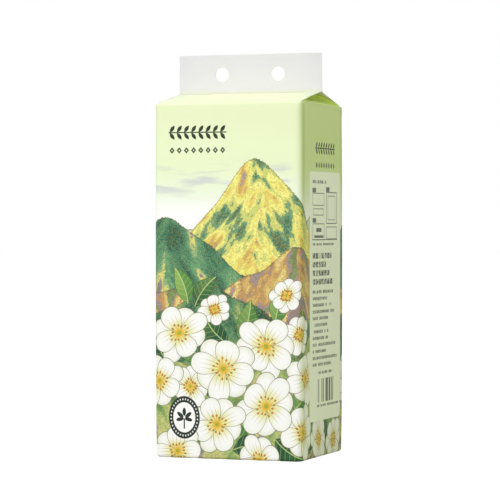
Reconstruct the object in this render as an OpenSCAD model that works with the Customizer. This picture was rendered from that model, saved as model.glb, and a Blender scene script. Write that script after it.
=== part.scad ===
// Hanging pack of paper tissues.
// A sealed film bag, drawn tight round its block of tissues, folds over the top into a low
// gabled roof with a tuck at each end. A frosted header with two hook holes is welded along
// the ridge. The pack stands on its base, its front faces -Y and its width runs along X.

/* [Pack] */
// Width of the pack across its widest part
pack_w = 130; // [100:1:180]
// Depth of the pack across its deepest part
pack_d = 112; // [80:1:140]
// Height of the shoulder fold above the base
shoulder_h = 293; // [180:1:360]
// How far the front and back faces bow out at mid height
face_bow = 1; // [0.5:0.1:3]
// How far the two side faces bow out at mid height
side_bow = 0.5; // [0.2:0.1:2]
// Radius of the four upright edges
edge_r = 5; // [4:0.5:14]
// Radius of the edges round the base
base_r = 4; // [2:0.5:8]

/* [Roof] */
// Rise of the roof from the shoulder fold to the ridge
roof_rise = 12; // [8:0.5:25]
// Length of each end tuck, measured inwards along the ridge
tuck_l = 33; // [15:1:45]
// Thickness of the doubled film that roofs over a tuck
flap_t = 0.6; // [0.3:0.1:1.2]

/* [Header] */
// Width of the hanging header
header_w = 128; // [90:1:128]
// Height of the header above the ridge
header_h = 33; // [25:1:60]
// Thickness of the header, which is two welded layers of film
header_t = 0.5; // [0.3:0.1:1.2]
// How far each layer of the header laps down its roof panel, measured level
weld_lap = 2.75; // [1.5:0.05:8]
// Diameter of the hook holes
hole_d = 12; // [6:0.5:16]
// Distance between the hook holes, centre to centre
hole_pitch = 50; // [30:1:70]
// Height of the hole centres above the ridge
hole_rise = 16; // [12:0.5:16]

/* [Tear line] */
// Length of the perforated opening in the base
tear_l = 76; // [50:1:90]
// Width of the perforated opening in the base
tear_w = 22; // [14:1:34]
// Width of the perforated line itself
tear_line_w = 0.8; // [0.4:0.1:1.6]
// Depth of the perforated line
tear_depth = 0.4; // [0.2:0.1:1]

/* [Hidden] */

$fn = 64;
bow_steps = 8;       // straight steps in each bowed face
arc_steps = 6;       // steps in each rounded base corner
tuck_steps = 12;     // steps along the floor of a tuck

half_w = pack_w / 2;
half_d = pack_d / 2;
end_x = half_w - side_bow;               // end of the roof and of the shoulder fold
eave_y = half_d - face_bow;              // front and back lines of the shoulder fold
ridge_h = shoulder_h + roof_rise;
roof_angle = atan(roof_rise / eave_y);
layer_t = header_t / 2;                  // one layer of the header film
weld_drop = weld_lap * roof_rise / eave_y;
flap_drop = flap_t / cos(roof_angle);    // the roof film's thickness, measured plumb
tuck_rise = roof_rise - flap_drop;       // height of the tuck's mouth at its middle
tuck_half_d = eave_y * tuck_rise / roof_rise;

// Outline from the base to the shoulder on the positive side: a rounded base corner, then a
// face that bows out as a shallow parabola.
function upright_edge(half, bow) = concat(
    [for (i = [0:arc_steps])
        let (a = 90 * i / arc_steps - 90)
        [half - bow - base_r + base_r * cos(a), base_r + base_r * sin(a)]],
    [for (i = [1:bow_steps])
        let (u = 2 * i / bow_steps - 1)
        [half - bow * u * u, base_r + (shoulder_h - base_r) * i / bow_steps]]);

function mirrored(points) = [for (i = [len(points) - 1:-1:0]) [-points[i][0], points[i][1]]];

// The pack seen from its end, with depth across and height up, and the roof on top.
module end_outline() {
    right = upright_edge(half_d, face_bow);
    polygon(concat(right, [[0, ridge_h]], mirrored(right)));
}

// The pack seen from the front, as high as the ridge.
module front_outline() {
    right = concat(upright_edge(half_w, side_bow), [[end_x, ridge_h + 1]]);
    polygon(concat(right, mirrored(right)));
}

// The pack seen from above, with its upright edges rounded.
module plan_outline() {
    square([pack_w - 2 * edge_r, pack_d], center = true);
    square([pack_w, pack_d - 2 * edge_r], center = true);
    for (x = [-1, 1], y = [-1, 1])
        translate([x * (half_w - edge_r), y * (half_d - edge_r)]) circle(r = edge_r);
}

// The mouth of a tuck seen from the end of the pack: the hollow under the roof film.
module tuck_mouth() {
    polygon([[-tuck_half_d, shoulder_h], [tuck_half_d, shoulder_h], [0, shoulder_h + tuck_rise]]);
}

// A tuck seen from the front. The side film folds inwards at the shoulder and climbs along a
// parabola to meet the roof, so the crease under each roof panel curves in to the ridge.
module tuck_side() {
    top = shoulder_h + tuck_rise + 1;
    polygon(concat(
        [[half_w + 1, top], [half_w + 1, shoulder_h]],
        [for (i = [0:tuck_steps])
            let (s = i / tuck_steps)
            [end_x - tuck_l * s * s, shoulder_h + tuck_rise * s]],
        [[end_x - tuck_l, top]]));
}

// The hollow under the roof at the right-hand end, where the side film is tucked inwards.
module tuck() {
    intersection() {
        rotate([90, 0, 90]) linear_extrude(pack_w) tuck_mouth();
        rotate([90, 0, 0]) translate([0, 0, -pack_d]) linear_extrude(2 * pack_d) tuck_side();
    }
}

// A slot with round ends, lying along X.
module slot(l, w) {
    square([l - w, w], center = true);
    for (x = [-1, 1]) translate([x * (l - w) / 2, 0]) circle(d = w);
}

// The perforated line round the opening in the base.
module tear_line() {
    translate([0, 0, tear_depth - 2]) linear_extrude(2)
        difference() {
            slot(tear_l + tear_line_w, tear_w + tear_line_w);
            slot(tear_l - tear_line_w, tear_w - tear_line_w);
        }
}

// The sealed film bag with its block of tissues.
module tissue_pack() {
    color([0.90, 0.96, 0.77])
    difference() {
        intersection() {
            rotate([90, 0, 90])
                translate([0, 0, -pack_w]) linear_extrude(2 * pack_w) end_outline();
            rotate([90, 0, 0])
                translate([0, 0, -pack_d]) linear_extrude(2 * pack_d) front_outline();
            translate([0, 0, -1]) linear_extrude(ridge_h + 2) plan_outline();
        }
        for (side = [0, 1]) mirror([side, 0, 0]) tuck();
        tear_line();
    }
}

// Half of the header's cross-section: a leg that lies on the roof, then the upright strip.
function header_edge() = [
    [weld_lap, ridge_h - weld_drop],
    [weld_lap + layer_t * sin(roof_angle), ridge_h - weld_drop + layer_t * cos(roof_angle)],
    [layer_t, ridge_h + layer_t / cos(roof_angle) - layer_t * tan(roof_angle)],
    [layer_t, ridge_h + header_h]];

// The hanging header: two layers of frosted film, welded together and along the ridge.
module hanging_header() {
    color([0.93, 0.93, 0.92])
    difference() {
        rotate([90, 0, 90])
            translate([0, 0, -header_w / 2]) linear_extrude(header_w)
                polygon(concat([[0, ridge_h]], header_edge(), mirrored(header_edge())));
        for (side = [-1, 1])
            translate([side * hole_pitch / 2, 0, ridge_h + hole_rise])
                rotate([90, 0, 0]) cylinder(d = hole_d, h = 4 * header_t, center = true);
    }
}

tissue_pack();
hanging_header();
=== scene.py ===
"""Hanging pack of paper tissues: a printed film bag under a frosted header, in metres.

The bag's surface is worked out in millimetres from the same sizes as the solid, and is scaled to
metres when its mesh is made. Its print is drawn in film coordinates: u runs round the bag from
the front's left edge, and v runs up the film from the base.
"""

import logging
import math
from dataclasses import dataclass, fields
from enum import Enum
from functools import partialmethod

import bmesh
import bpy
import numpy as np
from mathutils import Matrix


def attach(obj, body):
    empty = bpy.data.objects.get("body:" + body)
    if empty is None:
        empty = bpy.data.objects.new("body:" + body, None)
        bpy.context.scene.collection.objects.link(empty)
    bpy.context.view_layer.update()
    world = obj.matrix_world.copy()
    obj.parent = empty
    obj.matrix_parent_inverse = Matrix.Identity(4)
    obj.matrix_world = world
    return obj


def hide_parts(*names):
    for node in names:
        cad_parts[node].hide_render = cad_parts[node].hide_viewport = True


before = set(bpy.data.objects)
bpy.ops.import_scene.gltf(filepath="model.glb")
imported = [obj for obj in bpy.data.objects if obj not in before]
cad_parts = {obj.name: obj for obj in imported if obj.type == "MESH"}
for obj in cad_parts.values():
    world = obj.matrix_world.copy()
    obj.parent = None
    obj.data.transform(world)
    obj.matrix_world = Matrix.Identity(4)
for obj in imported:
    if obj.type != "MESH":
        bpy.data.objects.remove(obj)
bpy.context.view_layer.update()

LOG = logging.getLogger("tissue_pack")
MM = 0.001
PRINT_MAP = "film_print"
ROOT = "root"

Array = np.ndarray
Node = bpy.types.Node
Socket = bpy.types.NodeSocket
Thing = bpy.types.Object
Tree = bpy.types.NodeTree
Triple = tuple[float, float, float]


# Whole-array helpers


def smooth(x: Array, low: float, high: float) -> Array:
    """A soft step.

    Args:
        x: Where to work it out.
        low: The step is 0 before this.
        high: The step is 1 after this.

    Returns:
        3s^2 - 2s^3, where s is x's share of the way from low to high, held between 0 and 1.
    """
    s = np.clip((np.asarray(x, float) - low) / (high - low), 0.0, 1.0)
    return s * s * (3.0 - 2.0 * s)


def soft_ramp(x: Array, width: float) -> Array:
    """A ramp with a rounded foot.

    Args:
        x: Where to work it out.
        width: Half the length over which the foot is rounded.

    Returns:
        0 below -width, x above width, and (x + width)^2 / (4 width) between them.
    """
    s = np.clip(x, -width, width)
    return np.where(x > width, x, (s + width) ** 2 / (4.0 * width))


def ripple(x: Array, lengths: tuple[float, ...], phase: float | Array = 0.0) -> Array:
    """A sum of sine waves with unlike wavelengths.

    Args:
        x: Distance along the ripple.
        lengths: The wavelengths, longest first.
        phase: Added to every wave, in radians.

    Returns:
        The mean of sin(2 pi x / length + phase times the wave's number), from 0 to 1.
    """
    waves = [np.sin(2.0 * np.pi * x / w + (i + 1.0) * phase) for i, w in enumerate(lengths)]
    return 0.5 + 0.5 * sum(waves) / len(waves)


def grid_faces(rows: int, columns: int) -> Array:
    """Quads of a grid whose points are numbered row by row.

    Args:
        rows: How many rows of points.
        columns: How many points in a row.

    Returns:
        An array of four point numbers for each face.
    """
    start = (np.arange(rows - 1)[:, None] * columns + np.arange(columns - 1)).ravel()
    return np.stack([start, start + 1, start + columns + 1, start + columns], axis=1)


def make_mesh(name: str, points: Array, faces: Array, film: Array | None = None,
              weld: float = 1e-6) -> Thing:
    """Makes one object whose place is in its mesh.

    Args:
        name: The object's name.
        points: Places in metres, one row each.
        faces: Point numbers, one row for each face.
        film: Film coordinates in millimetres, one row for each point.
        weld: Points nearer than this are joined.

    Returns:
        The object, smooth but for its open rims, with its faces pointing outwards.
    """
    mesh = bpy.data.meshes.new(name)
    mesh.from_pydata(points.tolist(), [], faces.tolist())
    if film is not None:
        layer = mesh.uv_layers.new(name=PRINT_MAP)
        corners = np.zeros(len(mesh.loops), np.int32)
        mesh.loops.foreach_get("vertex_index", corners)
        layer.uv.foreach_set("vector", film[corners].astype(np.float32).ravel())
    work = bmesh.new()
    work.from_mesh(mesh)
    bmesh.ops.remove_doubles(work, verts=work.verts, dist=weld)
    bmesh.ops.dissolve_degenerate(work, edges=work.edges, dist=weld)
    bmesh.ops.recalc_face_normals(work, faces=work.faces)
    for edge in work.edges:
        edge.smooth = not edge.is_boundary
    work.to_mesh(mesh)
    work.free()
    mesh.polygons.foreach_set("use_smooth", np.ones(len(mesh.polygons), bool))
    piece = bpy.data.objects.new(name, mesh)
    bpy.context.scene.collection.objects.link(piece)
    return piece


def thicken(sheet: Thing, thick: float) -> None:
    """Makes a sheet solid, with half its thickness on each side.

    Args:
        sheet: The sheet's object.
        thick: Its thickness in millimetres.
    """
    wall = sheet.modifiers.new("thickness", "SOLIDIFY")
    wall.thickness = thick * MM
    wall.offset = 0.0


# Shader arithmetic


class Ink:
    """A number that a shader works out.

    Arithmetic on it adds Math nodes to its tree. low and high give the smaller and the larger of
    two numbers, and under gives 1 where this number is less than the other.
    """

    def __init__(self, tree: Tree, socket: Socket) -> None:
        """Keeps the tree and the socket that gives the number."""
        self.tree = tree
        self.socket = socket

    def act(self, operation: str, *others: "Ink | float") -> "Ink":
        """A Math node with this number first.

        Args:
            operation: The node's operation.
            others: The node's other inputs.

        Returns:
            The node's result.
        """
        return math_node(self.tree, operation, self, *others)

    __add__ = __radd__ = partialmethod(act, "ADD")
    __sub__ = partialmethod(act, "SUBTRACT")
    __mul__ = __rmul__ = partialmethod(act, "MULTIPLY")
    __truediv__ = partialmethod(act, "DIVIDE")
    __pow__ = partialmethod(act, "POWER")
    __abs__ = partialmethod(act, "ABSOLUTE")
    low = partialmethod(act, "MINIMUM")
    high = partialmethod(act, "MAXIMUM")
    under = partialmethod(act, "LESS_THAN")

    def __rsub__(self, other: float) -> "Ink":
        """Other minus this."""
        return math_node(self.tree, "SUBTRACT", other, self)

    def step(self, low: "Ink | float", high: "Ink | float") -> "Ink":
        """A soft step from 0 at low to 1 at high, which falls where low is above high.

        Args:
            low: Where the step starts.
            high: Where the step ends.

        Returns:
            The step's height.
        """
        node = add_node(self.tree, "ShaderNodeMapRange", {0: self, 1: low, 2: high},
                        interpolation_type="SMOOTHSTEP")
        return Ink(self.tree, node.outputs[0])


def feed(tree: Tree, pin: Socket, value: object) -> None:
    """Links an Ink or a socket to a pin, or writes a plain value on it.

    Args:
        tree: The tree that holds the pin.
        pin: The input to set.
        value: An Ink, a socket, a number, or a colour of three numbers.
    """
    if isinstance(value, Ink):
        tree.links.new(value.socket, pin)
    elif isinstance(value, Socket):
        tree.links.new(value, pin)
    elif pin.type == "RGBA":
        pin.default_value = (*value[:3], 1.0)
    else:
        pin.default_value = value


def add_node(tree: Tree, kind: str, pins: dict[str | int, object], **settings: object) -> Node:
    """Adds a node.

    Args:
        tree: The tree to add to.
        kind: The node's type.
        pins: What goes into its inputs, by their names or numbers.
        settings: The node's own settings.

    Returns:
        The node.
    """
    node = tree.nodes.new(kind)
    for name, value in settings.items():
        setattr(node, name, value)
    for pin, value in pins.items():
        feed(tree, node.inputs[pin], value)
    return node


def math_node(tree: Tree, operation: str, *values: object) -> Ink:
    """Adds a Math node.

    Args:
        tree: The tree to add to.
        operation: The node's operation.
        values: What goes into it, in order.

    Returns:
        The node's result.
    """
    node = add_node(tree, "ShaderNodeMath", dict(enumerate(values)), operation=operation)
    return Ink(tree, node.outputs[0])


def lay(tree: Tree, share: Ink | float, under: object, over: object,
        blend: str = "MIX") -> Socket:
    """Lays one colour over another.

    Args:
        tree: The tree to add to.
        share: How much of the upper colour shows, from 0 to 1.
        under: The lower colour.
        over: The upper colour.
        blend: How the two combine.

    Returns:
        The socket of the result.
    """
    node = add_node(tree, "ShaderNodeMix", {0: share, 6: under, 7: over},
                    data_type="RGBA", blend_type=blend)
    return node.outputs[2]


def vector(tree: Tree, x: Ink | float, y: Ink | float, z: Ink | float = 0.0) -> Socket:
    """Joins three numbers into a vector.

    Args:
        tree: The tree to add to.
        x: First number.
        y: Second number.
        z: Third number.

    Returns:
        The vector's socket.
    """
    return add_node(tree, "ShaderNodeCombineXYZ", {0: x, 1: y, 2: z}).outputs[0]


def split(tree: Tree, place: Socket) -> list[Ink]:
    """Takes a vector apart.

    Args:
        tree: The tree to add to.
        place: The vector's socket.

    Returns:
        Its three numbers.
    """
    return [Ink(tree, pin) for pin in add_node(tree, "ShaderNodeSeparateXYZ", {0: place}).outputs]


def object_place(tree: Tree) -> tuple[Socket, list[Ink]]:
    """Places on an object in its own metres, as one vector and as three numbers."""
    place = add_node(tree, "ShaderNodeTexCoord", {}).outputs["Object"]
    return place, split(tree, place)


def noise(tree: Tree, at: Socket, scale: float, detail: float = 2.0, rough: float = 0.5) -> Ink:
    """Smooth noise.

    Args:
        tree: The tree to add to.
        at: Where to read it.
        scale: Lumps for each unit of length.
        detail: How many finer layers it has.
        rough: How strong the finer layers are.

    Returns:
        The noise, from 0 to 1.
    """
    pins = {"Vector": at, "Scale": scale, "Detail": detail, "Roughness": rough}
    return Ink(tree, add_node(tree, "ShaderNodeTexNoise", pins).outputs[0])


def ramp(tree: Tree, at: Ink, stops: tuple[tuple[float, Triple], ...], hard: bool = False) -> Socket:
    """A row of colours.

    Args:
        tree: The tree to add to.
        at: Where to read it, from 0 to 1.
        stops: Each colour with its place.
        hard: True where the colours change without a blend.

    Returns:
        The colour's socket.
    """
    node = add_node(tree, "ShaderNodeValToRGB", {0: at})
    row = node.color_ramp
    row.interpolation = "CONSTANT" if hard else "LINEAR"
    while len(row.elements) > 1:
        row.elements.remove(row.elements[-1])
    row.elements[0].position = stops[0][0]
    row.elements[0].color = (*stops[0][1], 1.0)
    for place, colour in stops[1:]:
        row.elements.new(place).color = (*colour, 1.0)
    return node.outputs[0]


def rgb(red: int, green: int, blue: int) -> Triple:
    """A colour as the shader needs it.

    Args:
        red: From 0 to 255, as on a screen.
        green: From 0 to 255.
        blue: From 0 to 255.

    Returns:
        The three linear values.
    """
    def linear(c: float) -> float:
        """The linear value of one channel."""
        return c / 12.92 if c <= 0.04045 else ((c + 0.055) / 1.055) ** 2.4
    return linear(red / 255.0), linear(green / 255.0), linear(blue / 255.0)


class Panel(Enum):
    """The bag's four walls in the order that the film runs round it."""

    FRONT = 0
    RIGHT = 1
    BACK = 2
    LEFT = 3


def is_wide(panel: Array) -> Array:
    """True where a column lies on the front or the back."""
    return (panel == Panel.FRONT.value) | (panel == Panel.BACK.value)


@dataclass(frozen=True)
class Bag:
    """The film bag in millimetres.

    Its sizes are the solid's, but its shoulder lies 1 mm higher and its base has a sharper edge.
    The sizes from wave_wide on are the depths of its waves and puckers.
    """

    width: float = 130.0
    depth: float = 112.0
    shoulder: float = 294.0
    face_bow: float = 1.0
    side_bow: float = 0.5
    corner: float = 5.0
    top_corner: float = 3.2
    base_round: float = 2.6
    roof_rise: float = 11.0
    roof_crown: float = 0.4
    tuck_length: float = 33.0
    flap: float = 0.6
    fold_round: float = 1.0
    strip: float = 3.2
    wave_wide: float = 0.16
    wave_side: float = 0.34
    wave_up: float = 0.22
    gather: float = 0.20
    hem: float = 0.22
    ridge_pucker: float = 0.12
    fold_pucker: float = 0.22
    tuck_sag: float = 0.3

    @property
    def end_x(self) -> float:
        """Half the width at the shoulder."""
        return self.width / 2.0 - self.side_bow

    @property
    def eave_y(self) -> float:
        """Half the depth at the shoulder."""
        return self.depth / 2.0 - self.face_bow

    @property
    def slope(self) -> float:
        """Length of film from the shoulder to the ridge."""
        return math.hypot(self.eave_y, self.roof_rise)

    @property
    def side_span(self) -> float:
        """Width of a side panel in film coordinates."""
        return self.depth - 2.0 * self.face_bow + 1.0

    def stations(self, half: float, parts: tuple[tuple[float, int], ...]) -> Array:
        """Places across a panel that lie closer together near its ends.

        Args:
            half: Half the panel's width.
            parts: Distances from the end, each with how many places lead up to it.

        Returns:
            Places from -1 at one end to 1 at the other.
        """
        runs, start = [], 0.0
        for stop, count in parts:
            runs.append(np.linspace(start, stop, count, endpoint=False))
            start = stop
        near = np.append(np.concatenate(runs), half)
        right = 1.0 - near / half
        return np.concatenate([-right, right[::-1][1:]])

    def columns(self) -> tuple[Array, Array, Array]:
        """The film's columns, once round the bag.

        Returns:
            Each column's panel, its place across the panel from -1 to 1, and its u.
        """
        wide = self.stations(self.width / 2.0, ((7.0, 10), (self.width / 2.0, 30)))
        deep = self.stations(self.side_span / 2.0,
                             ((self.strip, 10), (8.0, 7), (self.side_span / 2.0, 24)))
        panel, place, along, start = [], [], [], 0.0
        for side in Panel:
            t, span = (wide, self.width) if side in (Panel.FRONT, Panel.BACK) else (deep, self.side_span)
            t = t if side is Panel.LEFT else t[:-1]
            panel.append(np.full(len(t), side.value))
            place.append(t)
            along.append(start + (t + 1.0) * span / 2.0)
            start += span
        return np.concatenate(panel), np.concatenate(place), np.concatenate(along)

    def rows(self) -> Array:
        """The film's rows above the base.

        Returns:
            Each row's v, from the start of the base's round to the ridge.
        """
        arc = self.base_round * (1.0 - math.pi / 2.0)
        top = self.shoulder
        return np.concatenate([
            np.linspace(arc, self.base_round, 7, endpoint=False),
            np.linspace(self.base_round, 24.0, 14, endpoint=False),
            np.linspace(24.0, top - 24.0, 108, endpoint=False),
            np.linspace(top - 24.0, top - 4.0, 14, endpoint=False),
            np.linspace(top - 4.0, top + 4.0, 16, endpoint=False),
            np.linspace(top + 4.0, top + self.slope, 36),
        ])

    def wall(self, panel: Array, t: Array, v: Array) -> tuple[Array, Array, Array]:
        """The walls, as a place along each panel and a distance out from the middle.

        A panel is flat but for a shallow bow, and each of its ends turns through an eighth of a
        circle to meet the next. Below base_round the plan shrinks along a quarter circle.

        Args:
            panel: Each column's panel.
            t: Each column's place across its panel.
            v: Each row's film height.

        Returns:
            Along, out and height, each rows by columns.
        """
        wide = is_wide(panel)
        v = v[:, None]
        turn = np.clip((self.base_round - v) / self.base_round, 0.0, math.pi / 2.0)
        height = np.where(v < self.base_round, self.base_round * (1.0 - np.sin(turn)), v)
        shrink = self.base_round * (1.0 - np.cos(turn))
        level = np.clip(2.0 * (height - self.base_round) / (self.shoulder - self.base_round) - 1.0, -1.0, 1.0)
        bow = 1.0 - level ** 4
        half_x = self.end_x + self.side_bow * bow - shrink
        half_y = self.eave_y + self.face_bow * bow - shrink
        edge_y = self.eave_y + 0.8 * self.face_bow * bow - shrink
        edge_x = self.end_x + 0.9 * self.side_bow * bow - shrink
        lift = 1.0 - smooth(height, self.shoulder - 12.0, self.shoulder)
        radius = self.top_corner + (self.corner - self.top_corner) * lift
        half_along = np.where(wide, edge_x, edge_y)
        middle_out = np.where(wide, half_y, half_x)
        edge_out = np.where(wide, edge_y, edge_x)
        reach = half_along - radius * (1.0 - math.pi / 4.0)
        q = (1.0 - np.abs(t)) * reach
        bend = np.clip(math.pi / 4.0 - q / radius, 0.0, None)
        flat = np.clip(q - radius * math.pi / 4.0, 0.0, None)
        along = np.sign(t) * (half_along - radius - flat + radius * np.sin(bend))
        out = edge_out + (middle_out - edge_out) * (1.0 - t ** 2) - radius * (1.0 - np.cos(bend))
        return along, out, height * np.ones_like(along)

    def wrinkles(self, panel: Array, along: Array, v: Array) -> Array:
        """How far the film lies inside its smooth form.

        Side panels carry faint upright waves. All walls pucker a little below the shoulder and
        above the base, where the film is gathered into its folds.

        Args:
            panel: Each column's panel.
            along: Places across each panel, rows by columns.
            v: Each row's film height.

        Returns:
            The depth in millimetres, rows by columns, never below 0.
        """
        v = v[:, None]
        phase = panel * 1.7
        wide = is_wide(panel)
        body = smooth(v, 4.0, 40.0) * (1.0 - smooth(v, self.shoulder - 60.0, self.shoulder - 6.0))
        waves = ripple(along + 3.0 * np.sin(v / 57.0 + phase), (31.0, 19.0, 13.0), phase)
        sway = ripple(v + 8.0 * np.sin(along / 23.0), (141.0, 83.0, 47.0), phase + along / 90.0)
        below = np.exp(-np.abs(self.shoulder - 5.0 - v) / 7.0) * (v < self.shoulder)
        gather = ripple(along + 0.12 * (self.shoulder - v), (17.0, 9.3, 5.9), phase + 0.8)
        foot = np.exp(-((v - 7.0) / 6.0) ** 2)
        hem = ripple(along, (23.0, 12.1, 7.7), phase + 2.1)
        inner = 1.0 - smooth(np.abs(along), np.where(wide, 48.0, 38.0), np.where(wide, 62.0, 50.0))
        depth = (np.where(wide, self.wave_wide, self.wave_side) * waves + self.wave_up * sway) * body
        return (depth + self.gather * gather * below + self.hem * hem * foot) * (0.06 + 0.94 * inner)

    def places(self) -> tuple[Array, Array]:
        """The film's surface from the base's round to the ridge.

        Above the shoulder, the front and back panels lean in along straight slopes. A side panel's
        end strips fold back under them, to a crease that runs in as the square of the height, and
        the rest crosses between the two creases.

        Returns:
            Places in millimetres, rows by columns by 3, and film coordinates, rows by columns by 2.
        """
        panel, t, u = self.columns()
        v = self.rows()
        wide = is_wide(panel)
        lean = math.atan2(self.roof_rise, self.eave_y)
        run = soft_ramp(v - self.shoulder, self.fold_round)
        rise = np.clip(run / self.slope, 0.0, 1.0)[:, None]
        crown = self.roof_crown * 4.0 * rise * (1.0 - rise)
        height = (v - (1.0 - math.sin(lean)) * run)[:, None] + crown
        along, out, low_height = self.wall(panel, t, np.minimum(v, self.shoulder))
        out = out - self.wrinkles(panel, along, v)
        height = np.where(v[:, None] < self.base_round, low_height, height * np.ones_like(along))

        narrow = 1.0 - rise
        tuck = self.tuck_length * rise ** 2
        ends = 1.0 - self.strip / (self.side_span / 2.0)
        fold = np.clip((1.0 - np.abs(t)) / (1.0 - ends), 0.0, 1.0)
        cross = np.clip(np.abs(t) / ends, 0.0, 1.0) * np.sign(t)
        under = smooth(v, self.shoulder, self.shoulder + 10.0)[:, None]
        hung = self.tuck_sag * (1.0 - cross ** 2) * 4.0 * rise * narrow

        edge = self.end_x - self.top_corner * (1.0 - math.cos(math.pi / 4.0))
        side_along = (1.0 - under) * along * narrow + under * cross * (self.eave_y - 0.4) * narrow
        side_out = (1.0 - under) * (out - tuck) + under * (edge - fold * tuck)
        side_height = height - under * (self.flap * fold * (2.0 - fold) + hung)
        at_ridge, at_fold = rise ** 6, smooth(rise, 0.0, 0.12) * narrow ** 3
        pucker = self.ridge_pucker * ripple(along, (14.0, 9.1, 5.3), panel + 0.4) * at_ridge
        pucker = pucker + self.fold_pucker * ripple(along, (21.0, 12.7, 7.1), panel + 1.9) * at_fold
        face_out = out * narrow
        face_height = height - pucker * (1.0 - smooth(np.abs(along), 54.0, 63.0))

        along = np.where(wide, along, side_along)
        out = np.where(wide, face_out, side_out)
        height = np.where(wide, face_height, side_height)
        turn = [(1, 0, 0, -1), (0, 1, 1, 0), (-1, 0, 0, 1), (0, -1, -1, 0)]
        xa, xo, ya, yo = np.array(turn, float)[panel].T
        points = np.stack([xa * along + xo * out, ya * along + yo * out, height], axis=2)
        film = np.stack(np.broadcast_arrays(u[None, :], v[:, None]), axis=2)
        return points, film

    def build(self) -> Thing:
        """Makes the closed bag: its base runs in rings from the middle out to the wall's foot.

        Returns:
            The bag's object, with film coordinates on its map.
        """
        points, film = self.places()
        share = np.linspace(0.0, 1.0, 14, endpoint=False)[:, None, None]
        foot = points[:1]
        base = foot * share
        base[:, :, 2] = 0.0
        gap = np.linalg.norm(foot[:, :, :2] - base[:, :, :2], axis=2)
        base_film = np.stack([np.broadcast_to(film[:1, :, 0], gap.shape), film[0, 0, 1] - gap], axis=2)
        points = np.concatenate([base, points])
        film = np.concatenate([base_film, film])
        rows, columns = points.shape[:2]
        return make_mesh("film_bag", points.reshape(-1, 3) * MM, grid_faces(rows, columns),
                         film.reshape(-1, 2), weld=2e-6)


@dataclass(frozen=True)
class Header:
    """The hanging header in millimetres: a frosted sheet with two holes, and the weld at its foot.

    The weld is two laps of weld_t, weld_gap above the roof, that turn up by weld_rise to stand
    weld_off from the sheet's middle.
    """

    width: float = 128.0
    foot: float = 305.0
    height: float = 33.0
    thick: float = 0.42
    hole: float = 12.0
    pitch: float = 50.0
    hole_rise: float = 16.0
    lap: float = 2.75
    lap_drop: float = 0.46
    weld_t: float = 0.16
    weld_gap: float = 0.12
    weld_rise: float = 0.5
    weld_off: float = 0.26

    def sway(self, x: Array, z: Array) -> Array:
        """How far the sheet waves out of its plane.

        Args:
            x: Places across.
            z: Heights.

        Returns:
            A few tenths of a millimetre, growing with height above the weld.
        """
        up = (z - self.foot) / self.height
        wave = ripple(x + 6.0 * up, (97.0, 41.0), 0.9) - 0.5
        return 1.5 * wave * up ** 1.5

    def block(self, left: float, right: float, centre: float | None, rows: int,
              columns: int) -> tuple[Array, Array]:
        """One block of the sheet.

        A plain block is a grid. A block with a hole is a grid of an angle and a share, where the
        share runs straight from the hole's edge to the block's border at that angle.

        Args:
            left: The block's left side.
            right: The block's right side.
            centre: The hole's middle, or None for a plain block.
            rows: How many rows of points.
            columns: How many points in a row.

        Returns:
            Places across, and heights, each rows by columns.
        """
        low, high = self.foot, self.foot + self.height - self.thick / 2.0
        middle = low + self.hole_rise
        if centre is None:
            half = rows // 2
            heights = np.append(np.linspace(low, middle, half, endpoint=False),
                                np.linspace(middle, high, rows - half))
            return tuple(np.meshgrid(np.linspace(left, right, columns), heights))
        side = np.linspace(-1.0, 1.0, columns // 4, endpoint=False)
        ones = np.ones_like(side)
        bx = np.concatenate([side, ones, -side, -ones, [-1.0]])
        bz = np.concatenate([-ones, side, ones, -side, [-1.0]])
        border_x = centre + np.where(bx > 0.0, bx * (right - centre), bx * (centre - left))
        border_z = middle + np.where(bz > 0.0, bz * (high - middle), bz * (middle - low))
        angle = np.arctan2(border_z - middle, border_x - centre)
        share = (np.linspace(0.0, 1.0, rows) ** 1.3)[:, None]
        rim_x = centre + self.hole / 2.0 * np.cos(angle)
        rim_z = middle + self.hole / 2.0 * np.sin(angle)
        return rim_x + share * (border_x - rim_x), rim_z + share * (border_z - rim_z)

    def build_sheet(self) -> Thing:
        """Makes the sheet from five blocks and gives it its thickness.

        Returns:
            The sheet's object.
        """
        half, reach = self.width / 2.0, 16.5
        left, right = -self.pitch / 2.0, self.pitch / 2.0
        borders = ((-half, left - reach, None), (left - reach, left + reach, left),
                   (left + reach, right - reach, None), (right - reach, right + reach, right),
                   (right + reach, half, None))
        points, faces, start = [], [], 0
        for low, high, centre in borders:
            rows, columns = (25, 10) if centre is None else (12, 97)
            x, z = self.block(low, high, centre, rows, columns)
            block = np.stack([x, self.sway(x, z), z], axis=2)
            points.append(block.reshape(-1, 3))
            faces.append(grid_faces(*x.shape) + start)
            start += x.size
        sheet = make_mesh("header_sheet", np.concatenate(points) * MM, np.concatenate(faces), weld=5e-6)
        thicken(sheet, self.thick)
        return sheet

    def build_weld(self) -> Thing:
        """Makes the two laps: a profile that lies on each roof slope, then turns up the sheet.

        Returns:
            The laps' object.
        """
        rows, columns = 65, 13
        s = np.linspace(0.0, 1.0, columns)
        up = smooth(s, 0.45, 1.0)
        y = self.lap * (1.0 - s) + self.weld_off * s
        z = self.foot - self.lap_drop * y / self.lap + self.weld_gap + self.weld_rise * up ** 2
        x = np.linspace(-self.width / 2.0, self.width / 2.0, rows)
        points, faces = [], []
        for side in (-1.0, 1.0):
            lap = np.stack(np.broadcast_arrays(x[:, None], side * y, z), axis=2)
            faces.append(grid_faces(rows, columns) + len(points) * rows * columns)
            points.append(lap.reshape(-1, 3))
        weld = make_mesh("header_weld", np.concatenate(points) * MM, np.concatenate(faces))
        thicken(weld, self.weld_t)
        return weld


# Print on the film


@dataclass(frozen=True)
class Blossom:
    """A flower of the print: four petals over four others round golden stamens, in film millimetres."""

    u: float
    v: float
    size: float
    squash: float = 1.0
    lean: float = 0.0
    seed: float = 0.0


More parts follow.
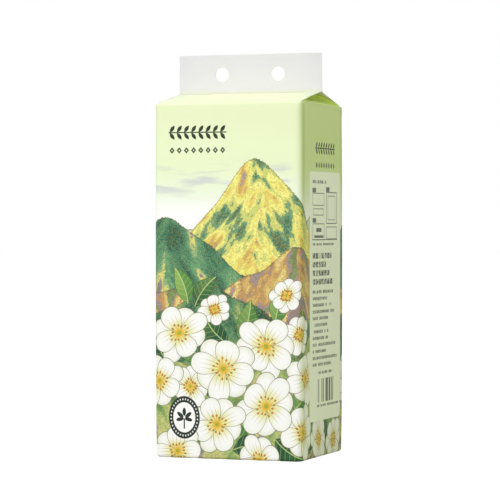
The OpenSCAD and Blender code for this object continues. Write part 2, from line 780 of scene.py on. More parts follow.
@dataclass(frozen=True)
class Leaf:
    """A leaf of the print, from its foot at (u, v) along the angle turn, in degrees."""

    u: float
    v: float
    length: float
    half: float
    turn: float
    bend: float = 0.0
    deep: float = 0.0


@dataclass(frozen=True)
class Hill:
    """A hill of the print: its crest's level and waves, and the inks of its patches."""

    level: float
    peak: float
    waves: Triple
    depth: float
    rough: float
    speckle: Triple
    patches: tuple[Triple, ...]


HILLS = (
    Hill(194, 176, (9, 6, 2), 60, 1.2, rgb(196, 206, 190),
         (rgb(196, 200, 204), rgb(206, 214, 206), rgb(206, 222, 200), rgb(214, 226, 190),
          rgb(222, 232, 200), rgb(214, 226, 190), rgb(206, 222, 200), rgb(236, 244, 226))),
    Hill(199, 92, (33, 14, 2.5), 130, 2.4, rgb(206, 178, 60),
         (rgb(70, 126, 96), rgb(108, 156, 116), rgb(210, 216, 122), rgb(246, 241, 140),
          rgb(243, 234, 124), rgb(234, 210, 110), rgb(212, 172, 98), rgb(166, 150, 152))),
    Hill(168, 12, (20, 10, 2.5), 110, 2.2, rgb(36, 84, 58),
         (rgb(48, 100, 74), rgb(64, 118, 90), rgb(78, 134, 98), rgb(92, 148, 106),
          rgb(108, 162, 116), rgb(150, 182, 128), rgb(222, 216, 122), rgb(160, 148, 152))),
    Hill(150, 130, (16, 7, 3), 110, 2.4, rgb(170, 124, 72),
         (rgb(126, 152, 98), rgb(160, 142, 146), rgb(194, 152, 98), rgb(216, 178, 106),
          rgb(230, 206, 128), rgb(238, 222, 146), rgb(206, 160, 100), rgb(166, 146, 154))),
    Hill(122, 52, (12, 8, 3), 100, 2.6, rgb(30, 74, 52),
         (rgb(42, 88, 64), rgb(52, 102, 74), rgb(64, 116, 84), rgb(78, 130, 92),
          rgb(98, 148, 106), rgb(118, 160, 104), rgb(160, 180, 110), rgb(190, 190, 116))),
    Hill(84, 160, (9, 7, 4), 120, 2.6, rgb(126, 136, 70),
         (rgb(88, 128, 72), rgb(108, 146, 82), rgb(130, 162, 92), rgb(152, 178, 104),
          rgb(178, 194, 120), rgb(198, 202, 128), rgb(208, 204, 134), rgb(168, 154, 152))),
)


LEAVES = (
    Leaf(30, 128, 33, 8, 112, -2.5), Leaf(36, 126, 32, 8, 52, 2.5, 0.6),
    Leaf(76, 98, 36, 9, 74, -3, 0.3), Leaf(66, 96, 32, 8.5, 132, 3, 0.8),
    Leaf(108, 112, 34, 8.5, 66, 3), Leaf(116, 104, 32, 8.5, 18, -3, 0.7),
    Leaf(84, 56, 36, 10, -8, 3, 0.8), Leaf(72, 46, 34, 9.5, -58, -3, 0.4),
    Leaf(38, 66, 32, 9, -34, 3, 0.9), Leaf(46, 88, 30, 8, 166, 3, 0.4),
    Leaf(108, 18, 34, 10, -30, -3, 0.8), Leaf(124, 42, 32, 9.5, 60, -3, 0.2),
    Leaf(148, 4, 36, 10, 62, 3, 0.7), Leaf(192, 4, 36, 10, 108, -3, 0.8),
    Leaf(204, 6, 36, 10, 46, 3, 0.2), Leaf(160, 6, 32, 9, 8, -3, 0.9),
    Leaf(70, 8, 30, 9, 4, 3, 0.9), Leaf(228, 60, 36, 9, 92, 3, 0.3),
    Leaf(136, 92, 34, 8.5, 98, -2, 0.5), Leaf(8, 84, 30, 8, 108, 2.5, 0.7),
)

BLOSSOMS = (
    Blossom(118, 136, 17, 0.84, 0.7, 2), Blossom(54, 124, 16, 0.86, 0.2, 4.1),
    Blossom(130, 104, 18, 0.88, 1.3, 5.6), Blossom(22, 104, 28, 0.86, 0.5, 1),
    Blossom(140, 68, 25, 0.92, 0.3, 3.3), Blossom(100, 94, 29, 0.88, 2.5, 2.6),
    Blossom(32, 60, 20, 0.90, 2.2, 3.6), Blossom(4, 64, 24, 0.90, 1.1, 5.2),
    Blossom(62, 75, 31, 0.90, 2.9, 0.4), Blossom(134, 24, 25, 0.92, 1.9, 5),
    Blossom(100, 45, 30, 0.86, 0.9, 3), Blossom(56, 29, 27, 0.92, 0.4, 1.7),
    Blossom(20, 6, 25, 0.90, 0.1, 4.4), Blossom(94, 0, 23, 0.92, 2, 0.9),
    Blossom(174, 16, 22, 0.90, 2.4, 3.8), Blossom(214, 12, 22, 0.90, 0.8, 1.4),
    Blossom(222, 56, 20, 0.90, 1.6, 2.9),
)


# The side panel's boxes: middle, half width and half height, and half a line where it is an outline
PLATE_BOXES = (
    (174, 215, 15, 5, 0.35), (174, 204.5, 13, 2.6, 0.35), (209, 208, 14, 13, 0.45),
    (209, 208, 10, 10, 0.3), (174, 188, 15, 6.6, 0.35), (209, 187, 14, 5, 0.35),
    (163, 222.5, 4.6, 1.9), (199, 223.5, 4.6, 1.9), (163, 197.5, 4.6, 1.9),
    (175, 189.5, 7, 1.6), (175, 184, 12, 1), (191, 181.4, 33, 0.35),
)

# The side panel's rows of marks, in the order that rows_of_marks takes
PLATE_ROWS = (
    (159, 229.5, 1, 6, 2.6, 4, 44), (159, 177.6, 1, 5, 1.8, 3.4, 70),
    (159, 168, 4, 7.2, 4.6, 7.6, 62), (159, 138, 12, 5.5, 2.5, 3.4, 68),
    (174, 70.5, 1, 6, 2.2, 3.4, 44), (170, 43, 1, 5, 1.9, 3.4, 88),
)


@dataclass(frozen=True)
class FilmInks:
    """The print's plain inks, and the inks of the painted shade and light on the side film."""

    # painted shade: a darker, greener copy of the faces' sky for the upper side panels
    shaded_side_sky: Triple = rgb(215, 231, 159)
    # painted light: a paler ink that lightens the tucked film in the mouth, for light through the roof film
    tuck: Triple = rgb(238, 253, 172)
    # painted shade: a yellower tint that multiplies the side panels, for the look of their shade
    side_shade_tint: Triple = (0.95, 1.0, 0.75)
    # painted shade: the ink of the dark lines beside the corners and at the fold under the roof
    fold: Triple = rgb(150, 168, 84)
    # painted shadow: the ink of the thin dark line along the roof's free edges
    rim: Triple = rgb(112, 126, 62)
    cloud: Triple = rgb(206, 208, 210)
    petal: Triple = rgb(255, 255, 250)
    petal_deep: Triple = rgb(236, 232, 142)
    petal_shade: Triple = rgb(228, 232, 204)
    line: Triple = rgb(104, 92, 66)
    heart: Triple = rgb(236, 190, 58)
    heart_dot: Triple = rgb(188, 128, 34)
    heart_deep: Triple = rgb(176, 176, 70)
    leaf: Triple = rgb(100, 152, 72)
    leaf_light: Triple = rgb(152, 190, 98)
    leaf_deep: Triple = rgb(42, 88, 58)
    rib: Triple = rgb(206, 222, 148)
    mark: Triple = rgb(46, 54, 36)
    badge: Triple = rgb(46, 53, 46)
    plate: Triple = rgb(252, 255, 241)
    plate_mark: Triple = rgb(56, 62, 42)
    base: Triple = rgb(222, 238, 178)


def new_group(name: str, motif: type) -> tuple[Tree, dict[str, Ink], Socket]:
    """Starts a group that takes a colour, a place on the film and a motif, and gives a colour.

    Args:
        name: The group's name.
        motif: The motif's class, whose fields become the group's numbers.

    Returns:
        The group's tree, its numbers by name, and the socket of the colour that comes in.
    """
    numbers = ("film_u", "film_v", *(field.name for field in fields(motif)))
    tree = bpy.data.node_groups.new(name, "ShaderNodeTree")
    tree.interface.new_socket("Under", in_out="INPUT", socket_type="NodeSocketColor")
    for number in numbers:
        tree.interface.new_socket(number, in_out="INPUT", socket_type="NodeSocketFloat")
    tree.interface.new_socket("Colour", in_out="OUTPUT", socket_type="NodeSocketColor")
    entry = add_node(tree, "NodeGroupInput", {})
    pins = {number: Ink(tree, entry.outputs[number]) for number in numbers}
    return tree, pins, entry.outputs["Under"]


def close_group(tree: Tree, colour: Socket) -> None:
    """Ends a group with the colour that it gives."""
    add_node(tree, "NodeGroupOutput", {"Colour": colour})


def turned(pins: dict[str, Ink], angle: Ink, wrap: float) -> tuple[Ink, Ink]:
    """Film coordinates about a motif's own point, turned to its own direction.

    Args:
        pins: The group's numbers, with film_u, film_v, u and v.
        angle: The motif's direction, in radians.
        wrap: The print repeats after this length.

    Returns:
        The distance along the motif's direction, and to its left.
    """
    du = (pins["film_u"] - pins["u"]).act("WRAP", wrap / 2.0, -wrap / 2.0)
    dv = pins["film_v"] - pins["v"]
    c, s = angle.act("COSINE"), angle.act("SINE")
    return du * c + dv * s, dv * c - du * s


def blossom_group(inks: FilmInks, wrap: float) -> Tree:
    """A flower. A petal is an egg: an ellipse whose width grows with the distance from the heart.

    Args:
        inks: The print's inks.
        wrap: The print repeats after this length.

    Returns:
        The group's tree.
    """
    tree, pins, colour = new_group("blossom", Blossom)
    size, seed = pins["size"], pins["seed"]
    along, left = turned(pins, pins["lean"], wrap)
    left = left / pins["squash"]
    away = (along * along + left * left).act("SQRT")
    angle = left.act("ARCTAN2", along)
    share = away / size
    for offset in (0.5, 0.0):
        place = angle * (4.0 / (2.0 * math.pi)) + offset
        number = place.act("ROUND")
        local = (place - number) * (math.pi / 2.0)
        vary = (number * (math.pi / 2.0) + seed + offset * 5.0).act("SINE")
        a = share * local.act("COSINE") / (vary * 0.09 + 0.94)
        b = share * local.act("SINE") + (share * 5.0 + seed).act("SINE") * 0.012
        half = a * 0.19 + 0.23 - vary * 0.02
        egg = (((a - 0.53) / 0.47) ** 2.0 + (b / half) ** 2.0).act("SQRT")
        inside = (1.0 - egg) * size * 0.38
        flank = abs(b) / half
        fill = lay(tree, a.step(0.62, 0.16), inks.petal, inks.petal_deep)
        fill = lay(tree, egg.step(0.45, 1.05) * (0.75 if offset else 0.35), fill, inks.petal_shade)
        vein = abs(flank - 0.40).low(flank) * half * size
        fill = lay(tree, vein.step(0.34, 0.10) * a.step(0.80, 0.45) * 0.45, fill, inks.line)
        fill = lay(tree, inside.step(0.66, 0.26) * 0.88, fill, inks.line)
        colour = lay(tree, inside.step(-0.12, 0.12), colour, fill)
    spoke = angle * (15.0 / (2.0 * math.pi))
    number = spoke.act("ROUND")
    local = (spoke - number) * (2.0 * math.pi / 15.0)
    reach = ((number * (2.0 * math.pi / 15.0) * 4.0 + seed).act("SINE") * 0.05 + 0.27) * size
    off = abs(away * local.act("SINE"))
    on = away * local.act("COSINE")
    colour = lay(tree, off.step(0.50, 0.25) * (on - reach).step(0.1, -0.1), colour, inks.heart)
    tip = ((on - reach) * (on - reach) * 0.5 + off * off).act("SQRT")
    colour = lay(tree, tip.step(1.0, 0.7), colour, inks.heart_dot)
    colour = lay(tree, share.step(0.17, 0.10), colour, inks.heart)
    close_group(tree, lay(tree, share.step(0.085, 0.06), colour, inks.heart_deep))
    return tree


def leaf_group(inks: FilmInks, wrap: float) -> Tree:
    """A leaf. Its half width is a parabola of the share of its length, a little fuller at its foot.

    Args:
        inks: The print's inks.
        wrap: The print repeats after this length.

    Returns:
        The group's tree.
    """
    tree, pins, colour = new_group("leaf", Leaf)
    along, left = turned(pins, pins["turn"].act("RADIANS"), wrap)
    share = along / pins["length"]
    hump = (share * (1.0 - share) * 4.0).high(-0.2)
    side = left - pins["bend"] * hump
    off = abs(side)
    inside = pins["half"] * hump * (1.22 - share.high(0.0).low(1.0) * 0.45) - off
    fill = lay(tree, side.step(-0.4, 0.4) * 0.8, inks.leaf, inks.leaf_light)
    fill = lay(tree, (pins["deep"] + share.step(0.75, 0.0) * 0.35).low(1.0), fill, inks.leaf_deep)
    vein = (share * 7.0 - off / pins["half"] * 1.1).act("FRACT")
    vein = abs(vein - 0.5).step(0.09, 0.03) * 0.35
    fill = lay(tree, vein.high(off.step(0.60, 0.25) * 0.8), fill, inks.rib)
    fill = lay(tree, inside.step(0.62, 0.22) * 0.7, fill, inks.mark)
    close_group(tree, lay(tree, inside.step(-0.12, 0.12), colour, fill))
    return tree


class FilmPrint:
    """Draws the print into a shader tree, sky first and marks on top, with painted shade and light on the
    sides.
    """

    def __init__(self, tree: Tree, bag: Bag, inks: FilmInks) -> None:
        """Reads the film coordinates and starts with no colour.

        Args:
            tree: The material's tree.
            bag: The bag that the print goes on.
            inks: The print's inks.
        """
        self.tree = tree
        self.bag = bag
        self.inks = inks
        self.wrap = bag.width + bag.side_span
        film = add_node(tree, "ShaderNodeUVMap", {}, uv_map=PRINT_MAP)
        self.u, self.v = split(tree, film.outputs[0])[:2]
        self.x = self.u.act("MODULO", self.wrap)
        self.at = vector(tree, self.x, self.v)
        self.grain = noise(tree, self.at, 0.55, 3.0, 0.6)
        self.colour: Socket | None = None

    def over(self, share: Ink, ink: object, blend: str = "MIX") -> None:
        """Lays an ink over what is drawn so far."""
        self.settle(lay(self.tree, share, self.colour, ink, blend))

    def settle(self, colour: Socket) -> None:
        """Keeps a new colour, and lets the film coordinates that are read next wait for it.

        A renderer then works the layers out one after another, and needs room for only one at a
        time. The share of the colour that is added is far below a coordinate's last digit.

        Args:
            colour: The colour with its newest layer.
        """
        self.colour = colour
        self.u, self.v, self.x = (math_node(self.tree, "MULTIPLY_ADD", colour, 1e-9, place)
                                  for place in (self.u, self.v, self.x))

    def dabs(self, scale: float) -> tuple[Ink, Ink]:
        """Small cells, as of a brush.

        Args:
            scale: Cells for each millimetre.

        Returns:
            The distance from a cell's middle, and a number for each cell.
        """
        cells = add_node(self.tree, "ShaderNodeTexVoronoi", {"Vector": self.at, "Scale": scale},
                         voronoi_dimensions="2D")
        pick = add_node(self.tree, "ShaderNodeSeparateColor", {0: cells.outputs["Color"]})
        return Ink(self.tree, cells.outputs["Distance"]), Ink(self.tree, pick.outputs[0])

    def box(self, u: float, v: float, half_u: float, half_v: float, edge: float = 0.0) -> Ink:
        """A plain box of ink, or its outline.

        Args:
            u: Its middle.
            v: Its middle.
            half_u: Half its width.
            half_v: Half its height.
            edge: Half the outline's width, or 0 to fill the box.

        Returns:
            1 where there is ink.
        """
        d = (abs(self.u - u) - half_u).high(abs(self.v - v) - half_v)
        return abs(d).step(edge + 0.12, max(edge - 0.12, 0.0)) if edge else d.step(0.15, -0.15)

    def oval(self, u: float, v: float, half_u: float, half_v: float, turn: float = 0.0) -> Ink:
        """An oval about a point.

        Args:
            u: Its middle.
            v: Its middle.
            half_u: Half its length.
            half_v: Half its width.
            turn: How far its length is turned from level, in radians.

        Returns:
            The distance from its middle as a share of its size, 1 on its rim.
        """
        c, s = math.cos(turn), math.sin(turn)
        du, dv = self.u - u, self.v - v
        a = (du * c + dv * s) / half_u
        b = (dv * c - du * s) / half_v
        return (a * a + b * b).act("SQRT")

    def sky(self) -> None:
        """A clear sky that pales towards the hills, with wisps of cloud on the wide faces.

        The side panels' upper sky is a darker, greener copy, which is painted shade, and the end tucks
        take a paler ink, which is painted light.
        """
        stops = ((0.0, rgb(255, 255, 250)), (0.585, rgb(255, 255, 250)), (0.63, rgb(240, 250, 222)),
                 (0.69, rgb(236, 247, 203)), (0.74, rgb(236, 247, 202)), (0.81, rgb(232, 242, 197)),
                 (1.0, rgb(236, 246, 200)))
        self.colour = ramp(self.tree, self.v / 350.0, stops)
        side = (self.x - self.bag.width).step(0.0, 4.0)
        # painted shade: the side panels' upper sky takes a darker, greener copy of the faces' sky
        self.over(side * self.v.step(196.0, 250.0), self.inks.shaded_side_sky)
        # painted light: the tucked film in the mouth is lightened, for light coming through the roof film
        self.over(side * self.v.step(295.8, 298.4), self.inks.tuck)
        drift = noise(self.tree, vector(self.tree, self.x * 0.018, self.v * 0.11), 1.0, 4.0, 0.55)
        face = (self.x - self.bag.width).step(-2.0, -16.0)
        band = self.v.step(212.0, 226.0) * self.v.step(250.0, 234.0) * face
        self.over(drift.step(0.46, 0.66) * band * 0.75, self.inks.cloud)

    def hills(self) -> None:
        """Hills of patches that run down from each summit. A crest is a sum of three cosines."""
        spot, pick = self.dabs(0.62)
        fine, fine_pick = self.dabs(1.25)
        for hill in HILLS:
            phase = (self.x - hill.peak) * (2.0 * math.pi / self.wrap)
            crest = phase.act("COSINE") * hill.waves[0] + (phase * 2.0).act("COSINE") * hill.waves[1]
            crest = crest + (phase * 5.0 + 0.7).act("COSINE") * hill.waves[2] + hill.level
            down = crest - self.v + (self.grain - 0.5) * (2.0 * hill.rough)
            ridge = (self.grain - 0.5) * 5.0 + (self.v / 15.0).act("SINE") * 3.0 + hill.peak
            aside = (self.x - ridge).act("WRAP", self.wrap / 2.0, -self.wrap / 2.0)
            flank = abs(aside)
            run = vector(self.tree, (self.v - flank * 0.6) * 0.020, (self.v * 0.6 + flank) * 0.058,
                         aside.under(0.0) * 41.0 + hill.peak)
            row = (noise(self.tree, run, 1.0, 3.0, 0.55) - 0.5) * 2.9 + down / hill.depth * 0.3 + 0.36
            count = len(hill.patches)
            stops = tuple((i / count, ink) for i, ink in enumerate(hill.patches))
            fill = ramp(self.tree, row, stops, hard=True)
            rim = abs((row.high(0.0).low(1.0) * count).act("FRACT") - 0.5).step(0.40, 0.48)
            fill = lay(self.tree, rim * 0.38, fill, self.inks.line)
            shade = (self.grain - 0.5) * 0.55 + 1.0
            fill = lay(self.tree, 1.0, fill, vector(self.tree, shade, shade, shade), "MULTIPLY")
            dots = spot.step(0.42, 0.22) * pick.step(0.45, 0.55) * 0.42
            fill = lay(self.tree, dots, fill, hill.speckle)
            dots = fine.step(0.40, 0.2) * fine_pick.step(0.6, 0.7) * 0.32
            fill = lay(self.tree, dots, fill, self.inks.petal_deep)
            fill = lay(self.tree, abs(down - 0.5).step(0.9, 0.3) * 0.6, fill, self.inks.line)
            self.over(down.step(-0.2, 0.2), fill)

    def flowers(self) -> None:
        """The leaves, then the flowers on top of them."""
        for group, motifs in ((leaf_group(self.inks, self.wrap), LEAVES),
                              (blossom_group(self.inks, self.wrap), BLOSSOMS)):
            for motif in motifs:
                pins = {"Under": self.colour, "film_u": self.x, "film_v": self.v, **vars(motif)}
                node = add_node(self.tree, "ShaderNodeGroup", pins, node_tree=group)
                self.settle(node.outputs["Colour"])

    def garland(self, u: float, v: float, long: float, high: float, count: int) -> None:
        """A level sprig: pairs of slanted leaves along a stem, with a row of lozenges below it.

        Args:
            u: Its left end.
            v: The stem's height on the film.
            long: Its length.
            high: How far the leaves stand from the stem.
            count: How many pairs of leaves.
        """
        pitch = long / count
        along = self.u - u
        within = abs(along - long / 2.0).under(long / 2.0)
        cell = (along / pitch).act("FRACT") * pitch - pitch / 2.0
        up = self.v - v
        off = abs(up)
        c, s = math.cos(math.radians(52.0)), math.sin(math.radians(52.0))
        on, beside = cell * c + (off - high * 0.52) * s, (off - high * 0.52) * c - cell * s
        leaf = (1.0 - (on / (high * 0.60)) ** 2.0) * (high * 0.27) - abs(beside)
        self.over(leaf.step(-0.12, 0.12).high(off.step(0.60, 0.35)) * within, self.inks.mark)
        lozenge = abs(cell) / (pitch * 0.36) + abs(up + high + 9.0) / 2.7
        self.over(lozenge.step(1.06, 0.94) * lozenge.step(0.24, 0.36) * within * 0.95, self.inks.mark)

    def badge(self) -> None:
        """An oval badge: a dark ring with a row of pale dots, and a sprig on its pale middle."""
        u, v = 26.3, 34.0
        du, dv = (self.u - u) / 14.2, (self.v - v) / 17.8
        away = (du * du + dv * dv).act("SQRT")
        turn = dv.act("ARCTAN2", du) / (2.0 * math.pi)
        self.over(away.step(1.0, 0.985), self.inks.badge)
        bead = abs((turn * 32.0).act("FRACT") - 0.5)
        beads = bead.step(0.26, 0.16) * abs(away - 0.85).step(0.050, 0.030)
        self.over(beads * 0.85, self.inks.petal)
        self.over(away.step(0.715, 0.695), self.inks.petal)
        for turn_deg, reach in ((90.0, 5.4), (38.0, 4.6), (142.0, 4.6), (-12.0, 4.0), (192.0, 4.0)):
            a = math.radians(turn_deg)
            leaf = self.oval(u + reach * math.cos(a), v - 0.8 + reach * math.sin(a), 3.5, 1.6, a)
            self.over(leaf.step(1.05, 0.9), self.inks.badge)
        self.over(self.box(u, v - 5.2, 0.6, 4.2), self.inks.badge)

    def rows_of_marks(self, left: float, top: float, count: int, pitch: float, high: float, letter: float,
                      long: float) -> None:
        """Rows of small dark marks. White noise picks the marks and each row's length.

        Args:
            left: Where the rows start.
            top: The first row's middle.
            count: How many rows.
            pitch: From row to row.
            high: A row's height.
            letter: A mark's width.
            long: The longest row.
        """
        down = (top - self.v) / pitch + 0.5
        number = down.act("FLOOR")
        along = (self.u - left) / letter
        pick = self.white(along.act("FLOOR"), number)
        part = self.white((along * 3.0).act("FLOOR"), (down * 3.0 * pitch / high).act("FLOOR"))
        row = abs(down.act("FRACT") - 0.5).step(high / pitch / 2.0 + 0.03, high / pitch / 2.0 - 0.03)
        across = abs(along.act("FRACT") - 0.45).step(0.45, 0.38)
        reach = self.white(number, 7.0) * 0.5 + 0.5
        zone = (self.u - left).step(-0.1, 0.1) * (reach * long - self.u + left).step(-0.1, 0.1)
        zone = zone * abs(down - count / 2.0).under(count / 2.0)
        ink = row * across * zone * pick.step(0.10, 0.14) * (part.step(0.2, 0.6) * 0.45 + 0.45)
        self.over(ink, self.inks.plate_mark)

    def white(self, a: Ink | float, b: Ink | float) -> Ink:
        """White noise for a pair of whole numbers.

        Args:
            a: The first.
            b: The second.

        Returns:
            The noise, from 0 to 1.
        """
        node = add_node(self.tree, "ShaderNodeTexWhiteNoise", {"Vector": vector(self.tree, a, b)},
                        noise_dimensions="2D")
        return Ink(self.tree, node.outputs["Value"])

    def plate(self) -> None:
        """The side's pale panel: outline drawings, rows of plain marks and a block of upright bars."""
        left, right, low, high = 151.0, 232.4, 30.5, 238.0
        mid_u, mid_v = (left + right) / 2.0, (low + high) / 2.0
        ax = (abs(self.u - mid_u) - (right - left) / 2.0 + 5.0).high(0.0)
        ay = (abs(self.v - mid_v) - (high - low) / 2.0 + 5.0).high(0.0)
        self.over((ax * ax + ay * ay).act("SQRT").step(5.15, 4.85), self.inks.plate)
        for box in PLATE_BOXES:
            self.over(self.box(*box) * (0.8 if len(box) > 4 else 0.88), self.inks.plate_mark)
        for rows in PLATE_ROWS:
            self.rows_of_marks(*rows)
        bars = self.white((self.u / 2.1).act("FLOOR"), 3.0).step(0.46, 0.52)
        self.over(bars * self.box(193.4, 55.6, 22.0, 9.8) * 0.85, self.inks.plate_mark)

    def from_corner(self) -> Ink:
        """Distance outwards from a side panel's nearer corner, below 0 on the panel."""
        half = self.bag.side_span / 2.0
        return abs(self.x - self.bag.width - half) - half

    def folds(self) -> None:
        """Painted shade on the side film: a tint over the side panels, and darker lines at its creases.

        The side panels take a warmer, yellower tint than the faces, which is painted shade. A painted
        shade line runs up each side panel next to its corners, another darkens the fold where the side
        turns in under the roof, and a finer painted shadow line follows the free edges of the roof.
        """
        # painted shade: the side panels are multiplied by a yellower tint, for the look of their shade
        side = (self.x - self.bag.width).step(-2.0, 2.0) * (self.wrap - self.x).step(-2.0, 2.0)
        self.over(side, self.inks.side_shade_tint, "MULTIPLY")
        # painted shade: a soft dark line on each side panel just beside its corners, stronger higher up
        beside = abs(self.from_corner() + 5.4)
        deep = self.v.step(60.0, 250.0) * 0.18 + 0.08
        self.over(beside.step(5.0, 0.6) * deep * self.v.step(293.5, 291.0), self.inks.fold, "MULTIPLY")
        # painted shade: darkens the side film where it turns in under the roof, over its lit rounded fold
        turn = abs(self.v - self.bag.shoulder - 2.4).step(2.4, 0.6) * (self.x - self.bag.width).step(1.0, 6.0)
        self.over(turn * 0.24, self.inks.fold, "MULTIPLY")
        # painted shadow: a thin dark line along the roof's free edges, for the shadow gap beneath them
        edge = abs(self.from_corner()).step(1.5, 0.7)
        self.over(edge * self.v.step(294.5, 298.0) * 0.75, self.inks.rim)

    def base(self) -> None:
        """The plain base, with the dashes of its tear line."""
        x, y = (axis / MM for axis in object_place(self.tree)[1][:2])
        self.over(self.v.step(-1.5, -3.5), self.inks.base)
        ax = (abs(x) - 27.0).high(0.0)
        off = abs((ax * ax + y * y).act("SQRT") - 11.0)
        dash = ((x + y * 1.3) / 3.6).act("FRACT").step(0.62, 0.56)
        self.over(off.step(0.5, 0.25) * dash * self.v.step(-1.5, -3.5) * 0.7, self.inks.mark)

    def draw(self) -> Socket:
        """Draws everything in order.

        Returns:
            The socket of the print's colour.
        """
        self.sky()
        self.hills()
        self.flowers()
        self.badge()
        self.garland(12.0, 270.3, 52.5, 5.8, 8)
        self.garland(166.0, 257.6, 52.5, 5.2, 8)
        self.plate()
        self.folds()
        self.base()
        return self.colour


# Finishes


@dataclass(frozen=True)
class PrintedFilm:
    """Satin printed film: the print under a soft shine, with fine creases in its bump.

    The film of the roof has no tissues behind it, and lets light through.
    """

    bag: Bag
    inks: FilmInks = FilmInks()
    rough: float = 0.40
    crease: float = 0.35
    through: float = 0.5
    spread: float = 0.003

    def build(self) -> bpy.types.Material:
        """Makes the material.

        Returns:
            The finished material.
        """
        material, tree, skin = new_finish("printed_film", self.rough)
        tree.links.new(FilmPrint(tree, self.bag, self.inks).draw(), skin.inputs["Base Color"])
        place, (_, _, height) = object_place(tree)
        fine = noise(tree, place, 900.0, 3.0, 0.6)
        broad = noise(tree, place, 60.0, 3.0, 0.5)
        bump(tree, skin, fine * 0.25 + broad, self.crease, 0.0006)
        feed(tree, skin.inputs["Roughness"], (broad - 0.5) * 0.14 + self.rough)
        loose = height.step(0.2935, 0.2955)
        feed(tree, skin.inputs["Subsurface Weight"], loose * self.through)
        skin.inputs["Subsurface Radius"].default_value = (1.0, 1.0, 0.5)
        skin.inputs["Subsurface Scale"].default_value = self.spread
        skin.inputs["Specular IOR Level"].default_value = 0.18
        return material


@dataclass(frozen=True)
class FrostedFilm:
    """Frosted film: milky, with a fine grain, and a warm tint over its lowest few millimetres."""

    milk: Triple = rgb(221, 220, 223)
    edge: Triple = rgb(225, 224, 226)
    weld: Triple = rgb(221, 223, 200)
    foot: float = 305.0
    rough: float = 0.5

    def build(self) -> bpy.types.Material:
        """Makes the material.

        Returns:
            The finished material.
        """
        material, tree, skin = new_finish("frosted_film", self.rough)
        place, (_, _, height) = object_place(tree)
        up = height / MM - self.foot
        cloud = noise(tree, place, 35.0, 3.0, 0.55)
        colour = lay(tree, cloud.step(0.35, 0.7) * 0.35, self.milk, self.edge)
        # a warmer, yellower tint over the lowest few millimetres, fading out by 3.4 mm above the foot
        colour = lay(tree, up.step(3.4, 0.8) * 0.8, colour, self.weld)
        tree.links.new(colour, skin.inputs["Base Color"])
        grain = noise(tree, place, 1400.0, 2.0, 0.6)
        ribs = (up * (2.0 * math.pi / 1.1)).act("SINE") * up.step(4.4, 3.6)
        bump(tree, skin, grain * 0.5 + ribs * 0.5, 0.25, 0.0003)
        feed(tree, skin.inputs["Roughness"], (cloud - 0.5) * 0.12 + self.rough)
        skin.inputs["Specular IOR Level"].default_value = 0.18
        return material


def new_finish(name: str, rough: float) -> tuple[bpy.types.Material, Tree, Node]:
    """Starts a material.

    Args:
        name: The material's name.
        rough: The roughness of its surface.

    Returns:
        The material, its tree and its Principled BSDF.
    """
    material = bpy.data.materials.new(name)
    material.use_nodes = True
    tree = material.node_tree
    skin = next(n for n in tree.nodes if n.type == "BSDF_PRINCIPLED")
    skin.inputs["Roughness"].default_value = rough
    return material, tree, skin


def bump(tree: Tree, skin: Node, height: Ink, strength: float, deep: float) -> None:
    """Raises a surface.

    Args:
        tree: The material's tree.
        skin: Its Principled BSDF.
        height: The height, from 0 to about 1.
        strength: How strongly it shows.
        deep: The size of a unit of height, in metres.
    """
    pins = {"Strength": strength, "Distance": deep, "Height": height}
    feed(tree, skin.inputs["Normal"], add_node(tree, "ShaderNodeBump", pins).outputs[0])


# The object


@dataclass(frozen=True)
class TissueBag:
    """The printed film bag, which stands for the sealed pack's solid."""

    bag: Bag = Bag()

    def build(self) -> Thing:
        """Makes the bag's mesh."""
        return self.bag.build()

    def dress(self, piece: Thing) -> None:
        """Gives the bag its finish and ties it to the model.

        Args:
            piece: The bag's object.
        """
        piece.data.materials.append(PrintedFilm(self.bag).build())
        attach(piece, ROOT)
        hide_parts("tissue_pack")
        LOG.info("%s: %d faces", piece.name, len(piece.data.polygons))


@dataclass(frozen=True)
class HangingHeader:
    """The frosted header and its weld, which stand for the header's solid."""

    header: Header = Header()

    def build(self) -> list[Thing]:
        """Makes the sheet and the weld."""
        return [self.header.build_sheet(), self.header.build_weld()]

    def dress(self, pieces: list[Thing]) -> None:
        """Gives both their finish and ties them to the model.

        Args:
            pieces: The sheet and the weld.
        """
        material = FrostedFilm(foot=self.header.foot).build()
        for piece in pieces:
            piece.data.materials.append(material)
            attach(piece, ROOT)
            LOG.info("%s: %d faces", piece.name, len(piece.data.polygons))
        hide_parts("hanging_header")


# The studio


@dataclass(frozen=True)
class Lamp:
    """A square area lamp that faces the pack."""

    name: str
    place: Triple
    size: float
    power: float


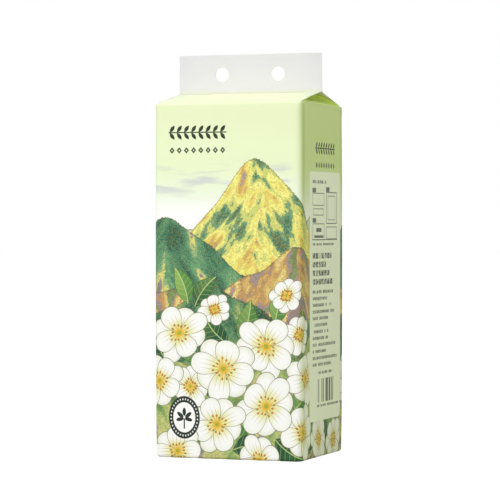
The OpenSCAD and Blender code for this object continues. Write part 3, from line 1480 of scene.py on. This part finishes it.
@dataclass(frozen=True)
class Studio:
    """White floor and world, three soft lamps, and the camera."""

    ambient: float = 0.33
    lens: float = 173.6
    eye: Triple = (0.7039, -1.9136, 0.1927)
    yaw: float = 20.20
    pitch: float = -0.567
    aim_at: Triple = (0.0, 0.0, 0.16)
    floor_glow: float = 0.86
    lamps: tuple[Lamp, ...] = (
        Lamp("key", (-1.3, -2.2, 1.5), 1.6, 50.0),
        Lamp("top", (0.1, -0.3, 2.3), 1.6, 20.0),
        Lamp("side", (2.6, -1.3, 0.35), 1.2, 22.0),
    )

    def world(self) -> None:
        """A white background for the eye and for reflections, and plain ambient light."""
        world = bpy.data.worlds.new("studio")
        bpy.context.scene.world = world
        world.use_nodes = True
        tree = world.node_tree
        back = next(n for n in tree.nodes if n.type == "BACKGROUND")
        path = add_node(tree, "ShaderNodeLightPath", {}).outputs
        seen = Ink(tree, path["Is Camera Ray"]).high(Ink(tree, path["Is Glossy Ray"]))
        seen = seen.high(Ink(tree, path["Is Transmission Ray"]))
        back.inputs["Color"].default_value = (1.0, 1.0, 1.0, 1.0)
        feed(tree, back.inputs["Strength"], seen * (1.0 - self.ambient) + self.ambient)

    def floor(self) -> None:
        """A wide white floor that keeps a faint shadow."""
        x, y = np.meshgrid(np.linspace(-6.0, 6.0, 3), np.linspace(-6.0, 14.0, 3))
        points = np.stack([x, y, np.zeros_like(x)], axis=2).reshape(-1, 3)
        floor = make_mesh("floor", points, grid_faces(3, 3))
        material, tree, skin = new_finish("floor", 0.9)
        skin.inputs["Base Color"].default_value = (0.5, 0.5, 0.5, 1.0)
        skin.inputs["Specular IOR Level"].default_value = 0.0
        skin.inputs["Emission Color"].default_value = (1.0, 1.0, 1.0, 1.0)
        seen = Ink(tree, add_node(tree, "ShaderNodeLightPath", {}).outputs["Is Camera Ray"])
        feed(tree, skin.inputs["Emission Strength"], seen * self.floor_glow)
        floor.data.materials.append(material)

    def light(self) -> None:
        """Hangs the lamps so that each faces the middle of the pack."""
        for lamp in self.lamps:
            data = bpy.data.lights.new(lamp.name, "AREA")
            data.size = lamp.size
            data.energy = lamp.power
            thing = bpy.data.objects.new(lamp.name, data)
            thing.location = lamp.place
            aim = np.array(self.aim_at) - np.array(lamp.place)
            yaw = math.atan2(aim[1], aim[0]) - math.pi / 2.0
            thing.rotation_euler = (math.acos(-aim[2] / np.linalg.norm(aim)), 0.0, yaw)
            bpy.context.scene.collection.objects.link(thing)

    def camera(self) -> None:
        """Sets the camera where the photograph was taken from."""
        data = bpy.data.cameras.new("camera")
        data.lens = self.lens
        data.sensor_width = 36.0
        data.clip_start, data.clip_end = 0.05, 60.0
        camera = bpy.data.objects.new("camera", data)
        camera.location = self.eye
        camera.rotation_euler = (math.radians(90.0 + self.pitch), 0.0, math.radians(self.yaw))
        bpy.context.scene.collection.objects.link(camera)
        bpy.context.scene.camera = camera

    def build(self) -> None:
        """Builds the whole studio."""
        self.camera()
        self.world()
        self.floor()
        self.light()
        bpy.context.scene.view_settings.view_transform = "Standard"


def main() -> None:
    """Builds the studio and the object."""
    logging.basicConfig(level=logging.INFO, format="%(name)s: %(message)s")
    Studio().build()
    for assembly in (TissueBag(), HangingHeader()):
        assembly.dress(assembly.build())


if __name__ == "__main__":
    main()
